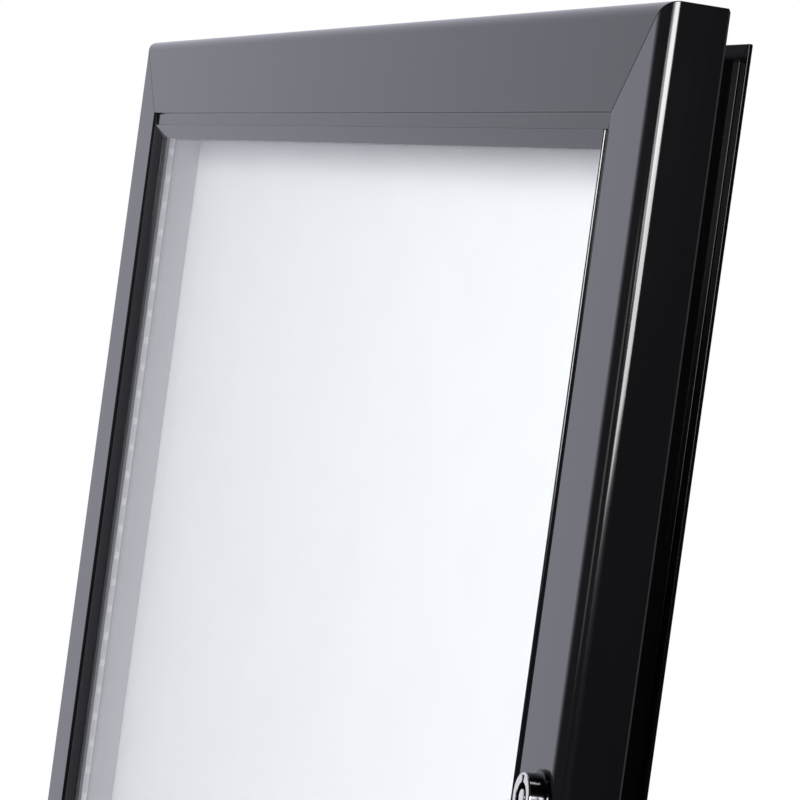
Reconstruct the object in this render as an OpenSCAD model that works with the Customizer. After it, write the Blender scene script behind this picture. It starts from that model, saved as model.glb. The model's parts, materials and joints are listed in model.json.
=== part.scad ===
// Menu display stand: a lit, lockable, glazed case on a tilting head, a post and a base plate.
// The origin is on the floor under the middle of the base; the front faces -Y.
// Door and case parts are drawn upright about the middle of the door's face, then leaned.

/* [Case] */
// Width over the door frame
case_w = 930; // [500:5:1200]
// Height over the door frame
case_h = 684; // [450:2:900]
// Depth from the door's face to the back flange
case_d = 44; // [41:0.5:60]
// Lean of the case from upright
case_lean = 8; // [0:1:20]
// Height of the tilt axis above the floor
axis_height = 1165; // [900:5:1300]

/* [Door frame] */
// Depth of the door frame
door_d = 28.6; // [27:0.1:29.5]
// Width of the flat face, up to the ridge
face_w = 45; // [44:0.5:50]
// Width from the ridge to the glazing
bead_w = 15; // [14:0.5:20]
// Radius of the outer front edge
edge_r = 6.3; // [3:0.1:8]
// Wall of the door extrusion
door_wall = 2.2; // [1.8:0.1:2.4]
// Chamfer of the rear outer edge
rear_chamfer = 1.4; // [0.5:0.1:1.8]
// Width of the sunk border between the ridge and the bead
recess_w = 7; // [6.4:0.1:7.4]
// Depth of the sunk border behind the face
recess_d = 2.6; // [2:0.1:2.8]
// Depth of the bead's crest behind the face
bead_drop = 0.2; // [0:0.1:0.8]
// Width of the lip along the back of the door frame
rear_lip_w = 17; // [15:0.5:18]

/* [Glazing] */
// Depth of the glazing's front behind the face
glass_y = 4.5; // [4.3:0.1:5]
// Thickness of the glazing
glass_t = 3; // [2.5:0.1:3.4]
// Thickness of the retainer strips
retainer_t = 1.5; // [1.2:0.1:1.6]

/* [Back frame] */
// Wall of the back-frame extrusion
back_wall = 1.8; // [1.4:0.1:2.2]
// Step from the door's outer edge in to the back flange
flange_inset = 11.6; // [9:0.2:13]
// Step from the door's outer edge in to the back frame's side
side_inset = 18.6; // [17.8:0.1:20]
// Width of the back flange, inwards from the side
flange_lip = 11.4; // [9:0.2:14]
// Gap between the door's back and the step of the back frame
step_gap = 1.9; // [1.7:0.1:2.5]
// Width of the ledge behind the display panel
ledge_w = 8; // [6:0.5:12]
// Depth of the lit space in front of the display panel
lit_depth = 19.5; // [18:0.5:20.5]
// Thickness of the display panel
panel_t = 1.5; // [1:0.1:2]
// Thickness of the rear sheet
sheet_t = 1.4; // [1:0.1:1.8]
// Height of the rubber seal behind the glazing
seal_t = 4; // [3.8:0.1:4.4]
// Width of the rubber seal
seal_w = 3.4; // [2.6:0.2:3.6]

/* [Lighting] */
// Width of the light strips
strip_w = 5; // [4:0.5:8]
// Thickness of the white liners
liner_t = 0.8; // [0.6:0.1:1.2]
// Pitch of the lamps along a strip
lamp_pitch = 16.67; // [12:0.01:33.4]

/* [Hinges and lock] */
// Length of one hinge
hinge_len = 80; // [60:5:120]
// Distance of the hinges' middles from the door's top and bottom
hinge_inset = 127; // [124:1:180]
// Thickness of the hinge leaves
leaf_t = 1.6; // [1.2:0.1:1.8]
// Outer radius of the hinge knuckles
knuckle_r = 3.4; // [3:0.1:3.6]
// Radius of the hinge pins
hinge_pin_r = 1.6; // [1.2:0.1:1.8]
// Distance of the lock's axis from the door's outer edge
lock_inset = 15; // [14.5:0.1:15.5]
// Height of the lock above the middle of the door
lock_rise = 20; // [-60:1:60]
// Radius of the lock's front face
lock_face_r = 10; // [8:0.5:10.5]
// Radius of the lock's collar
collar_r = 12.5; // [11:0.5:12.6]
// How far the lock stands out of the face
lock_proud = 8.6; // [7:0.5:12]
// Radius of the lock's barrel
barrel_r = 8; // [7.4:0.1:8.2]
// Length of the lock's cam from its axis
cam_len = 24; // [22:0.5:24.4]

/* [Tilting head] */
// Distance of the tilt axis behind the case
head_back = 56; // [54:1:80]
// Radius of the tilt bolt
tilt_bolt_r = 6; // [5:0.5:7]
// Radius of the clamp bolts
clamp_bolt_r = 4; // [3:0.5:5]
// Radius from the tilt axis to the clamp bolts
clamp_radius = 30; // [28:1:32]
// Furthest lean that the slots let the case take
lean_most = 30; // [24:1:35]
// Thickness of the ears
ear_t = 6; // [4:0.5:8]

/* [Post and base] */
// Outer radius of the post
post_r = 38; // [37:0.5:42]
// Wall of the post
post_wall = 3; // [2:0.5:5]
// Distance of the post behind the middle of the base
post_back = 50; // [0:5:80]
// Width of the base plate
base_w = 600; // [500:10:800]
// Depth of the base plate
base_d = 500; // [480:10:700]
// Thickness of the base plate
base_t = 8; // [6:1:15]
// Radius of the base plate's corners
base_corner_r = 30; // [10:1:45]
// Distance of the anchor holes from the plate's edges
anchor_inset = 50; // [45:1:70]
// Radius of the anchor holes
anchor_r = 6; // [5:0.5:8]
// Radius of the rubber pads
pad_r = 30; // [20:1:40]
// Thickness of the rubber pads
pad_t = 5; // [3:0.5:10]

/* [Hidden] */
$fn = 48;

// Colours
satin_black = "#1c1c1e";
steel_black = "#232326";
zinc = "#a9adb2";
rubber_black = "#141414";
panel_white = "#f3f4f6";

// Clearances
seat = 0.1;
running = 0.05;
mitre_gap = 0.08;
swing_gap = 0.4;
eps = 0.01;

// Door section, with u running inwards from the outer edge and y back from the face
opening_u = face_w + bead_w;
glass_cover = 5.3;
glass_clear = 2.1;
glass_edge_u = face_w - glass_cover;
channel_u = glass_edge_u - glass_clear;
channel_w = 8.8;
channel_wall = 1.2;
channel_lip = 2.2;
lip_t = 1;
channel_top = 5.7;
leg_t = 1.6;
leg_u = channel_u - leg_t;
barb = 1.2;
barb_t = 0.8;
retainer_y = glass_y + glass_t + seat;
retainer_end = retainer_y + retainer_t;
seal_y = glass_y + glass_t + seat;
edge_land = 0.5;
bead_wall = 1.8;
face_wall = 2.6;
recess_wall = 1.4;
recess_in_y = recess_d + recess_wall;
bead_u = face_w + recess_w;
crest_r = 1.1;
crest_u = bead_u + crest_r;
crest_y = bead_drop + crest_r;
bead_run = opening_u - crest_u;
bead_fall = glass_y - edge_land - crest_y;
bead_slope = atan2(bead_fall, bead_run) + asin(crest_r / norm([bead_run, bead_fall]));
bead_in_u = opening_u - bead_wall - (glass_y - recess_in_y) / tan(bead_slope);
retainer_reach = 4.8;
retainer_front = face_wall + 0.4;

// Back-frame section
wall_front = seal_y + seal_t;
inner_u = face_w;
panel_y = wall_front + lit_depth;
panel_back = panel_y + panel_t;
step_y = door_d + step_gap;
flange_y = case_d - back_wall;
sheet_y = flange_y - seat - sheet_t;
flange_in_u = side_inset + flange_lip;
frame_u = inner_u + ledge_w;
seal_over = 2;
seal_bevel = 0.6;
seal_u = inner_u - seal_over;

// Hinges
knuckle_inset = 2.4;
fold_gap = 0.6;
hinge_u = knuckle_r + knuckle_inset;
hinge_free_u = hinge_u + knuckle_r + fold_gap;
hinge_y = door_d + swing_gap + knuckle_r;
hinge_screw_r = 1.5;
lip_screw_u = 13.4;
hinge_leaf_y = (hinge_y + knuckle_r + flange_y - fold_gap) / 2;
small_len = 4.4;
small_head_r = 2.6;
small_head_t = 1.3;

// Corner cleats
cleat_arm = 80;
door_cleat_u1 = leg_u - seat;
door_cleat_u0 = leg_u - channel_w + seat;
back_cleat_u0 = side_inset + back_wall + 0.2;
back_cleat_u1 = inner_u - back_wall - 0.2;
back_cleat_y = step_y + back_wall + seat;

// Lighting and wiring
strip_t = 1;
strip_gap = 0.4;
strip_y = wall_front + strip_gap;
strip_back_u = inner_u + liner_t;
lead_r = 1.2;
lead_u = strip_back_u + strip_t + lead_r + seat;
strip_len = case_h - 2 * inner_u - 6;
lamp_count = floor(strip_len / lamp_pitch);
lamp_t = 0.7;
lamp_w = 2.8;
lamp_len = 3.5;
lead_gap = 3;
gland_nut_t = 4;
gland_dome_t = 10;
gland_wall = 2.8;
gland_r = 6;
gland_side = 35;
lead_z = (1 - lamp_count / 2) * lamp_pitch;
gland_tail = sheet_y - 1.2;
sheet_screw_r = 1.6;

// Lock
barrel_end = 19;
lock_nut_r = barrel_r + 1.4;
lock_nut_t = 4;
shank_flats = 5;
thread_end = 0.6;
plug_r = 6;
key_ring_r = 4.4;
key_ring_w = 1.3;
collar_t = 2;
chrome_bevel = 0.6;
barrel_flare = 0.8;
face_recess = 0.3;
keyway_t = 1.6;
keyway_d = 5;
shank_r = 3.5;
cam_t = 2;
cam_w = 12;
cam_y = barrel_end + 0.3;
cam_nut_t = 3.2;
strike_t = 1.6;
strike_h = 30;
strike_end = face_w - back_wall - strike_t;
strike_gap = 1.2;
strike_foot = 15;
strike_lead = 1.4;
strike_y = cam_y - strike_gap - strike_t;

// Tilting head
axis_y = case_d + head_back;
rail_t = 5;
rail_w = 40;
rail_x = 75;
gland_x = rail_x + rail_w / 2 + gland_side;
bracket_t = 4;
bracket_w = 230;
bracket_h = 120;
bracket_bolt_z = 40;
rail_bolt_r = 3;
rail_screw_r = 2.5;
plate_back = rail_t + bracket_t;
ear_reach = head_back - plate_back;
ear_r = 20;
slot_margin = 8;
head_inner = 24;
ear_gap = 0.3;
head_ear_r = 22;
head_foot = 3;
head_rise = clamp_radius + clamp_bolt_r + slot_margin + head_foot;
cap_t = 8;
plug_len = 60;
lobe_gap = 2;
lobe_r = head_rise - lobe_gap;
lobe_cut = 0.8;
slot_r = clamp_bolt_r + 0.3;
ear_x = head_inner + ear_t + ear_gap;
stack_x = ear_x + ear_t + ear_gap;
washer_t = 1.6;

// Stand
plate_top = pad_t + base_t;
foot_t = 8;
foot_r = 90;
foot_bolt_pcd = 140;
foot_bolt_r = 5;
spigot_len = 40;
post_bottom = plate_top + foot_t;
post_top = axis_height - head_rise - cap_t;
post_in_r = post_r - post_wall;
grommet_r = 8;
head_screw_r = 3;

function arc(cu, cy, ru, ry, a0, a1, n) =
    [for (i = [0 : n]) let (a = a0 + (a1 - a0) * i / n) [cu + ru * cos(a), cy + ry * sin(a)]];

door_section = concat(
    [[rear_chamfer, door_d], [0, door_d - rear_chamfer]],
    arc(edge_r, edge_r, edge_r, edge_r, 180, 270, 10),
    [[face_w, 0], [face_w, recess_d], [bead_u, recess_d]],
    arc(crest_u, crest_y, crest_r, crest_r, 180, 270 + bead_slope, 8),
    [[opening_u, glass_y - edge_land], [opening_u, glass_y], [opening_u - bead_wall, glass_y],
     [bead_in_u, recess_in_y], [face_w - recess_wall, recess_in_y], [face_w - recess_wall, face_wall],
     [channel_u, face_wall], [channel_u, retainer_end + seat],
     [channel_u + barb, retainer_end + seat], [channel_u + barb, retainer_end + seat + barb_t],
     [leg_u, retainer_end + seat + barb_t], [leg_u, channel_top + lip_t], [leg_u - channel_lip, channel_top + lip_t],
     [leg_u - channel_lip, channel_top], [leg_u, channel_top], [leg_u, door_wall],
     [leg_u - channel_w, door_wall], [leg_u - channel_w, channel_top],
     [leg_u - channel_w + channel_lip, channel_top], [leg_u - channel_w + channel_lip, channel_top + lip_t],
     [leg_u - channel_w - channel_wall, channel_top + lip_t], [leg_u - channel_w - channel_wall, door_wall]],
    arc(edge_r, edge_r, edge_r - door_wall, edge_r - door_wall, 270, 180, 8),
    [[door_wall, door_d - door_wall], [rear_lip_w, door_d - door_wall], [rear_lip_w, door_d]]);

back_section = [
    [flange_inset, case_d], [flange_in_u, case_d], [flange_in_u, flange_y],
    [side_inset + back_wall, flange_y], [side_inset + back_wall, step_y + back_wall],
    [inner_u - back_wall, step_y + back_wall], [inner_u - back_wall, panel_back + back_wall],
    [frame_u, panel_back + back_wall], [frame_u, panel_back], [inner_u, panel_back],
    [inner_u, wall_front], [inner_u - back_wall, wall_front], [inner_u - back_wall, step_y],
    [side_inset, step_y], [side_inset, flange_y], [flange_inset, flange_y]];

retainer_section = [
    [channel_u + seat, retainer_front], [channel_u + seat, retainer_end],
    [channel_u + retainer_reach, retainer_end], [channel_u + retainer_reach, retainer_y],
    [glass_edge_u - edge_land, retainer_y], [glass_edge_u - edge_land, retainer_front]];

seal_section = concat(
    [[seal_u, wall_front], [seal_u, seal_y + seal_bevel], [seal_u + seal_bevel, seal_y]],
    [[seal_u + seal_w - seal_bevel, seal_y], [seal_u + seal_w, seal_y + seal_bevel], [seal_u + seal_w, wall_front]]);

// The slot's round end about the angle a, and past it in the direction dir
function slot_end(a, dir) =
    arc(clamp_radius * cos(a), clamp_radius * sin(a), slot_r, slot_r, a + (dir > 0 ? 20 : 200),
        a + (dir > 0 ? 160 : 340), 7);

// The slot that the clamp bolt runs in as the case leans
slot_outline = concat(
    arc(0, 0, clamp_radius + slot_r, clamp_radius + slot_r, -90, lean_most - 90, 10),
    slot_end(lean_most - 90, 1),
    arc(0, 0, clamp_radius - slot_r, clamp_radius - slot_r, lean_most - 90, -90, 10),
    slot_end(-90, -1));

ear_outline = concat(
    [[-ear_reach, ear_r]],
    arc(0, 0, ear_r, ear_r, 90, 0, 10),
    [[lobe_r * lobe_cut, 0]],
    arc(0, 0, lobe_r, lobe_r, -acos(lobe_cut), -90, 8),
    [[-ear_reach, -lobe_r]]);

// Places the parts that are drawn about the middle of the door's face
module in_case() {
    translate([0, post_back, axis_height])
        rotate([-case_lean, 0, 0])
            translate([0, -axis_y, 0])
                children();
}

// Along +Y from the origin
module rod(r, len, y = 0) {
    translate([0, y, 0]) rotate([-90, 0, 0]) cylinder(r = r, h = len);
}

// Along +X from the origin
module pin_x(r, len) {
    rotate([0, 90, 0]) cylinder(r = r, h = len);
}

// A bar whose ends are cut at 45 degrees, along X, with its section hanging down from z = 0
module mitred_bar(section, len, width) {
    end = len / 2 - mitre_gap;
    intersection() {
        rotate([0, 90, 0])
            linear_extrude(len, center = true)
                polygon(section);
        translate([0, case_d + 10, 0])
            rotate([90, 0, 0])
                linear_extrude(case_d + 30)
                    polygon([[-end - 1, 1], [end + 1, 1], [end - width, -width], [width - end, -width]]);
    }
}

// One member of a four-sided frame: side 0 is the top, 1 the right, 2 the bottom and 3 the left
module frame_member(section, width, side) {
    len = side % 2 == 0 ? case_w : case_h;
    reach = side % 2 == 0 ? case_h : case_w;
    rotate([0, 90 * side, 0])
        translate([0, 0, reach / 2])
            mitred_bar(section, len, width);
}

module four_sides(section, width) {
    for (side = [0 : 3]) frame_member(section, width, side);
}

// Children are drawn with x running inwards from the case's left or right edge
module left_side() {
    translate([-case_w / 2, 0, 0]) children();
}

module right_side() {
    translate([case_w / 2, 0, 0]) mirror([1, 0, 0]) children();
}

// Children are drawn in the corner where x and z are negative inwards
module corners() {
    for (mx = [0, 1], mz = [0, 1])
        mirror([mx, 0, 0]) mirror([0, 0, mz]) translate([case_w / 2, 0, case_h / 2]) children();
}

// A flat right-angled corner piece between the depths y0 and y1, with holes for its set screws
module corner_cleat(u0, u1, y0, y1, arm, screw_r) {
    difference() {
        union() {
            translate([-arm, y0, -u1]) cube([arm - u0, y1 - y0, u1 - u0]);
            translate([-u1, y0, -arm]) cube([u1 - u0, y1 - y0, arm - u0]);
        }
        cleat_screw_places(u0, u1, arm) rod(screw_r + running, y1 - y0 + 2, y0 - 1);
    }
}

module cleat_screw_places(u0, u1, arm) {
    mid = (u0 + u1) / 2;
    for (s = [u1 + 8, arm - 7]) {
        translate([-s, 0, -mid]) children();
        translate([-mid, 0, -s]) children();
    }
}

module set_screw(r, y0, y1) {
    difference() {
        rod(r, y1 - y0, y0);
        translate([0, y1 - r, 0]) rotate([-90, 0, 0]) cylinder(r = r * 0.55, h = r + 1, $fn = 6);
    }
}

// A pan-head screw along +Y, with its head's underside at y = 0
module pan_screw(r, len, head_r, head_t) {
    rod(r, len);
    difference() {
        rod(head_r, head_t, -head_t);
        translate([0, -head_t - 1, 0]) rotate([-90, 0, 0]) cylinder(r = r * 0.8, h = 1 + head_t * 0.6, $fn = 6);
    }
}

module small_screw() {
    pan_screw(hinge_screw_r, small_len, small_head_r, small_head_t);
}

// A flanged hex head or nut along +X, from x = 0
module hex_x(across, len, flange_r) {
    pin_x(flange_r, washer_t);
    rotate([0, 90, 0]) cylinder(r = across / 2 / cos(30), h = len, $fn = 6);
}

module rounded_slab(w, d, t, r) {
    linear_extrude(t) {
        square([w - 2 * r, d], center = true);
        square([w, d - 2 * r], center = true);
        for (sx = [-1, 1], sy = [-1, 1]) translate([sx * (w / 2 - r), sy * (d / 2 - r)]) circle(r);
    }
}

// Places shared by holes and what goes through them

module anchor_places() {
    for (sx = [-1, 1], sy = [-1, 1])
        translate([sx * (base_w / 2 - anchor_inset), sy * (base_d / 2 - anchor_inset), 0]) children();
}

module foot_bolt_places() {
    for (a = [45 : 90 : 315])
        translate([0, post_back, 0]) rotate(a) translate([foot_bolt_pcd / 2, 0, 0]) children();
}

module grommet_places() {
    for (z = [post_bottom + 120, post_top - 110]) translate([0, post_back, z]) children();
}

module head_screw_places() {
    for (a = [0 : 120 : 240])
        translate([0, post_back, post_top - plug_len / 2]) rotate(a - 90) children();
}

module sheet_screw_places() {
    mid_u = (side_inset + back_wall + flange_in_u) / 2;
    for (f = [-3 / 8, 0, 3 / 8], s = [-1, 1]) translate([f * case_w, 0, s * (case_h / 2 - mid_u)]) children();
    for (f = [-1 / 4, 0, 1 / 4], s = [-1, 1]) translate([s * (case_w / 2 - mid_u), 0, f * case_h]) children();
}

module rail_screw_places() {
    mid_u = (side_inset + back_wall + flange_in_u) / 2;
    for (sx = [-1, 1], dx = [-10, 10], sz = [-1, 1])
        translate([sx * rail_x + dx, 0, sz * (case_h / 2 - mid_u)]) children();
}

module bracket_bolt_places() {
    for (sx = [-1, 1], sz = [-1, 1]) translate([sx * rail_x, 0, sz * bracket_bolt_z]) children();
}

module hinge_places() {
    for (s = [-1, 1]) left_side() translate([0, 0, s * (case_h / 2 - hinge_inset)]) children();
}

module hinge_screw_places() {
    for (s = [-1, 1]) hinge_places() translate([0, 0, s * hinge_len * 0.34]) children();
}

module strike_screw_places() {
    for (s = [-1, 1])
        right_side() translate([strike_end - strike_foot / 2, 0, lock_rise + s * strike_h * 0.3]) children();
}

module gland_place() {
    translate([gland_x, 0, lead_z]) children();
}

// Stand

module base_plate() {
    color(steel_black) difference() {
        translate([0, 0, pad_t]) rounded_slab(base_w, base_d, base_t, base_corner_r);
        anchor_places() translate([0, 0, pad_t - 1]) cylinder(r = anchor_r, h = base_t + 2);
        foot_bolt_places() translate([0, 0, pad_t - 1]) cylinder(r = foot_bolt_r + running, h = base_t + 2);
    }
}

module base_pads() {
    color(rubber_black) anchor_places() difference() {
        cylinder(r = pad_r, h = pad_t);
        translate([0, 0, -1]) cylinder(r = anchor_r, h = pad_t + 2);
    }
}

module post_flange() {
    color(steel_black) difference() {
        translate([0, post_back, plate_top]) {
            cylinder(r = foot_r, h = foot_t);
            translate([0, 0, foot_t]) cylinder(r = post_in_r - seat, h = spigot_len);
        }
        translate([0, post_back, plate_top - 1])
            cylinder(r = post_in_r - post_wall - seat, h = foot_t + spigot_len + 2);
        foot_bolt_places() translate([0, 0, plate_top - 1]) cylinder(r = foot_bolt_r + running, h = foot_t + 2);
    }
}

module flange_bolts() {
    color(zinc) foot_bolt_places() {
        translate([0, 0, pad_t + 0.5]) cylinder(r = foot_bolt_r, h = base_t + foot_t - 0.5);
        translate([0, 0, plate_top + foot_t]) {
            cylinder(r = foot_bolt_r * 2, h = washer_t);
            cylinder(r = foot_bolt_r * 1.7, h = foot_bolt_r * 1.5, $fn = 6);
        }
    }
}

module post_tube() {
    color(satin_black) difference() {
        translate([0, post_back, post_bottom]) cylinder(r = post_r, h = post_top - post_bottom, $fn = 96);
        translate([0, post_back, post_bottom - 1])
            cylinder(r = post_in_r, h = post_top - post_bottom + 2, $fn = 96);
        grommet_places() rod(grommet_r, post_r + 2);
        head_screw_places() pin_x(head_screw_r + running, post_r + 2);
    }
}

module post_grommets() {
    color(rubber_black) grommet_places() difference() {
        union() {
            rod(grommet_r - running, post_r - post_in_r + 3, post_in_r - 2);
            rod(grommet_r + 3, 3.4, post_r - 1.6);
        }
        rod(grommet_r - 2.5, post_r + 10);
        difference() {
            cylinder(r = post_r + running, h = 4 * grommet_r, center = true, $fn = 96);
            rod(grommet_r - running, post_r + 5);
        }
    }
}

module post_head() {
    color(steel_black) difference() {
        translate([0, post_back, 0]) {
            translate([0, 0, post_top]) cylinder(r = post_r, h = cap_t, $fn = 96);
            translate([0, 0, post_top - plug_len]) cylinder(r = post_in_r - seat, h = plug_len, $fn = 96);
            for (x = [-head_inner - ear_t, head_inner])
                translate([x, 0, axis_height]) rotate([90, 0, 90]) linear_extrude(ear_t) {
                    circle(head_ear_r);
                    translate([-head_ear_r, -head_rise]) square([2 * head_ear_r, head_rise]);
                }
        }
        translate([0, post_back, post_top - plug_len - 1])
            cylinder(r = post_in_r - post_wall - seat, h = plug_len + 1, $fn = 96);
        translate([0, post_back, post_top - 1]) cylinder(r = grommet_r, h = cap_t + 2);
        translate([-post_r, post_back, axis_height]) pin_x(tilt_bolt_r + running, 2 * post_r);
        translate([-post_r, post_back, axis_height - clamp_radius]) pin_x(clamp_bolt_r + running, 2 * post_r);
        head_screw_places() pin_x(head_screw_r + running, post_r + 2);
    }
}

module head_screws() {
    color(zinc) head_screw_places()
        translate([post_in_r - post_wall - 1, 0, 0]) {
            pin_x(head_screw_r, post_r - post_in_r + post_wall + 2);
            translate([post_r - post_in_r + post_wall + 1 + running, 0, 0]) pin_x(head_screw_r * 1.8, 2);
        }
}

module tilt_bolt() {
    color(zinc) translate([0, post_back, axis_height]) {
        translate([-stack_x, 0, 0]) pin_x(tilt_bolt_r, 2 * stack_x + 12);
        translate([-stack_x, 0, 0]) mirror([1, 0, 0]) hex_x(tilt_bolt_r * 3, tilt_bolt_r * 1.4, tilt_bolt_r * 2);
    }
}

module tilt_nut() {
    color(zinc) translate([stack_x, post_back, axis_height]) difference() {
        hex_x(tilt_bolt_r * 3, tilt_bolt_r * 1.7, tilt_bolt_r * 2);
        translate([-1, 0, 0]) pin_x(tilt_bolt_r + running, tilt_bolt_r * 3);
    }
}

module tilt_spacer() {
    color(zinc) translate([seat - head_inner, post_back, axis_height]) difference() {
        pin_x(tilt_bolt_r + 4, 2 * (head_inner - seat));
        translate([-1, 0, 0]) pin_x(tilt_bolt_r + seat, 2 * head_inner + 2);
    }
}

module clamp_bolt() {
    color(zinc) translate([-stack_x, post_back, axis_height - clamp_radius]) {
        pin_x(clamp_bolt_r, 2 * stack_x + 9);
        mirror([1, 0, 0]) hex_x(clamp_bolt_r * 3.2, clamp_bolt_r * 1.4, clamp_bolt_r * 2.2);
    }
}

module clamp_nut() {
    color(zinc) translate([stack_x, post_back, axis_height - clamp_radius]) difference() {
        hex_x(clamp_bolt_r * 3.2, clamp_bolt_r * 1.7, clamp_bolt_r * 2.2);
        translate([-1, 0, 0]) pin_x(clamp_bolt_r + running, clamp_bolt_r * 3);
    }
}

// Tilting bracket, rails and back of the case

module tilt_bracket() {
    color(steel_black) in_case() difference() {
        union() {
            translate([-bracket_w / 2, case_d + rail_t, -bracket_h / 2]) cube([bracket_w, bracket_t, bracket_h]);
            for (x = [-ear_x - ear_t, ear_x])
                translate([x, axis_y, 0]) rotate([90, 0, 90]) linear_extrude(ear_t) difference() {
                    polygon(ear_outline);
                    polygon(slot_outline);
                }
        }
        translate([-bracket_w / 2, axis_y, 0]) pin_x(tilt_bolt_r + running, bracket_w);
        bracket_bolt_places() rod(rail_bolt_r + running, bracket_t + 2, case_d + rail_t - 1);
    }
}

module bracket_bolts() {
    color(zinc) in_case() bracket_bolt_places() translate([0, case_d + plate_back, 0]) mirror([0, 1, 0])
        pan_screw(rail_bolt_r, plate_back, rail_bolt_r * 1.8, rail_bolt_r);
}

module back_rails() {
    color(satin_black) in_case() difference() {
        for (s = [-1, 1])
            translate([s * rail_x - rail_w / 2, case_d, -case_h / 2 + flange_inset + 2])
                cube([rail_w, rail_t, case_h - 2 * flange_inset - 4]);
        rail_screw_places() rod(rail_screw_r + running, rail_t + 2, case_d - 1);
        bracket_bolt_places() rod(rail_bolt_r + running, rail_t + 2, case_d - 1);
    }
}

module rail_screws() {
    color(zinc) in_case() rail_screw_places() translate([0, case_d + rail_t, 0]) mirror([0, 1, 0])
        pan_screw(rail_screw_r, rail_t + back_wall, rail_screw_r * 1.8, rail_screw_r);
}

module back_frame(side) {
    color(satin_black) in_case() difference() {
        frame_member(back_section, frame_u, side);
        rail_screw_places() rod(rail_screw_r + running, 6, flange_y - 1);
        sheet_screw_places() rod(sheet_screw_r + running, 6, flange_y - 1);
        hinge_screw_places() translate([side_inset - 1, hinge_leaf_y, 0]) pin_x(hinge_screw_r + running, 4);
        strike_screw_places() rod(hinge_screw_r + running, 4, step_y - 1);
        lead_places() rod(lead_r + 0.4, back_wall + 2, panel_back - 1);
    }
}

module back_corner_cleats() {
    color(zinc) in_case() corners()
        corner_cleat(back_cleat_u0, back_cleat_u1, back_cleat_y, sheet_y - 0.3, cleat_arm, 2.5);
}

module back_cleat_screws() {
    color(zinc) in_case() corners() cleat_screw_places(back_cleat_u0, back_cleat_u1, cleat_arm)
        set_screw(2.5, step_y + back_wall, sheet_y - 0.4);
}

module rear_sheet() {
    inset = side_inset + back_wall + 0.3;
    color(satin_black) in_case() difference() {
        translate([-case_w / 2 + inset, sheet_y, -case_h / 2 + inset])
            cube([case_w - 2 * inset, sheet_t, case_h - 2 * inset]);
        sheet_screw_places() rod(sheet_screw_r + running, 6, sheet_y - 1);
        gland_place() rod(gland_r + running, 6, sheet_y - 1);
    }
}

module rear_sheet_screws() {
    color(zinc) in_case() sheet_screw_places() translate([0, case_d, 0]) mirror([0, 1, 0])
        pan_screw(sheet_screw_r, case_d - sheet_y + 1, sheet_screw_r * 1.9, 1.4);
}

module display_panel() {
    inset = inner_u + 0.3;
    color(panel_white) in_case() difference() {
        translate([-case_w / 2 + inset, panel_y, -case_h / 2 + inset])
            cube([case_w - 2 * inset, panel_t, case_h - 2 * inset]);
        lead_places() translate([-lead_r * 2, panel_y - 1, -lead_r - 0.4])
            cube([lead_r * 3.4, panel_t + 2, 2 * lead_r + 0.8]);
    }
}

// Light strips on the inner sides, with their lamps

module both_sides() {
    left_side() children();
    right_side() children();
}

module white_liners() {
    front = wall_front + seat;
    depth = lit_depth - 2 * seat;
    color("white") in_case() {
        both_sides() translate([inner_u, front, inner_u - case_h / 2]) cube([liner_t, depth, case_h - 2 * inner_u]);
        for (s = [-1, 1]) translate([0, front + depth / 2, s * (case_h / 2 - inner_u - liner_t / 2)])
            cube([case_w - 2 * strip_back_u - 2 * seat, depth, liner_t], center = true);
    }
}

module led_strips() {
    color("white") in_case() both_sides()
        translate([strip_back_u, strip_y, -strip_len / 2]) cube([strip_t, strip_w, strip_len]);
}

module led_lamps() {
    color("ivory") in_case() both_sides() for (i = [0 : lamp_count - 1])
        translate([strip_back_u + strip_t, strip_y + strip_w / 2, (i - (lamp_count - 1) / 2) * lamp_pitch])
            translate([0, -lamp_w / 2, -lamp_len / 2]) cube([lamp_t, lamp_w, lamp_len]);
}

module lead_places() {
    both_sides() translate([lead_u, 0, lead_z]) children();
}

module led_leads() {
    run_y = panel_back + back_wall + lead_r + seat;
    color("ivory") in_case() {
        lead_places() {
            rod(lead_r, run_y - strip_y - 1, strip_y + 1);
            translate([0, run_y, 0]) sphere(lead_r, $fn = 24);
        }
        for (s = [-1, 1]) gland_place() {
            translate([s * lead_gap, run_y, 0]) mirror([s < 0 ? 1 : 0, 0, 0])
                pin_x(lead_r, case_w / 2 - lead_u - lead_gap - s * gland_x);
            translate([s * lead_gap, run_y, 0]) sphere(lead_r, $fn = 24);
            translate([s * lead_gap, 0, 0]) rod(lead_r, gland_tail - run_y, run_y);
        }
    }
}

module cable_gland() {
    color(rubber_black) in_case() gland_place() difference() {
        union() {
            rod(gland_r, case_d - gland_tail, gland_tail);
            translate([0, sheet_y + sheet_t, 0]) rotate([-90, 0, 0]) cylinder(r = gland_r * 1.6, h = gland_nut_t, $fn = 6);
            rod(gland_r * 1.3, gland_dome_t, sheet_y + sheet_t + gland_nut_t - seat);
        }
        rod(gland_r - gland_wall, 30, gland_tail + 1);
    }
}

module door_seal() {
    color(rubber_black) in_case() four_sides(seal_section, seal_u + seal_w);
}

// Lock keeper and hinges

module lock_strike() {
    in_u = strike_end - strike_foot;
    color(zinc) in_case() difference() {
        right_side() translate([0, 0, lock_rise - strike_h / 2]) linear_extrude(strike_h)
            polygon([[in_u + strike_lead, strike_y], [strike_end, strike_y], [strike_end, step_y], [in_u, step_y],
                     [in_u, step_y - strike_t], [strike_end - strike_t, step_y - strike_t],
                     [strike_end - strike_t, strike_y + strike_t], [in_u + strike_lead, strike_y + strike_t]]);
        strike_screw_places() rod(hinge_screw_r + running, 4, step_y - 3);
    }
}

module strike_screws() {
    color(zinc) in_case() strike_screw_places()
        translate([0, step_y - strike_t, 0]) small_screw();
}

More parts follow.
